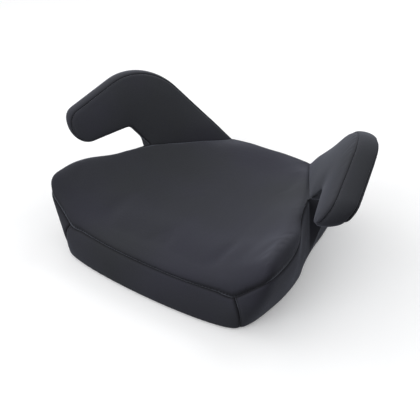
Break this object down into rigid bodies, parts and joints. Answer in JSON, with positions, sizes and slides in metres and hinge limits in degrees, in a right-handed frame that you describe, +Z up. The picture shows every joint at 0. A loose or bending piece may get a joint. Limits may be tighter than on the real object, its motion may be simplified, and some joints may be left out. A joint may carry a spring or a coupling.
{
  "type": "booster seat",
  "caption": "Backless child booster seat with a dished padded top, flared front wings and two horn-shaped side arms that guide a lap belt, covered in dark knit fabric.",
  "frame": {"origin": "middle of the whole seat's footprint, on the plane that the feet rest on", "axes": "+Z up, -Y to the front (the child's knees), +X to the seated child's left"},
  "size_m": [0.4776, 0.3482, 0.1922],
  "materials": {
    "cover_fabric": "fine matt knit with a soft sheen",
    "foam": "open-cell foam, matt",
    "shell_plastic": "fine moulded texture",
    "hook_plastic": "satin",
    "elastic": "ribbed woven elastic",
    "foot_rubber": "matt",
    "screw_steel": "zinc plated"
  },
  "bodies": {
    "root": {"base_shell": "shell_plastic", "arm_core_left": "shell_plastic", "arm_core_right": "shell_plastic", "arm_foam_left": "foam", "arm_foam_right": "foam", "arm_inner_panel_left": "cover_fabric", "arm_inner_panel_right": "cover_fabric", "arm_outer_panel_left": "cover_fabric", "arm_outer_panel_right": "cover_fabric", "arm_edge_strip_left": "cover_fabric", "arm_edge_strip_right": "cover_fabric", "arm_screws": "screw_steel", "seat_foam": "foam", "cover_top_panel": "cover_fabric", "cover_front_band": "cover_fabric", "cover_back_band": "cover_fabric", "cover_side_band_left": "cover_fabric", "cover_side_band_right": "cover_fabric", "hem_elastic": "elastic", "anti_slip_feet": "foot_rubber", "cover_hooks": "hook_plastic"}
  },
  "joints": []
}
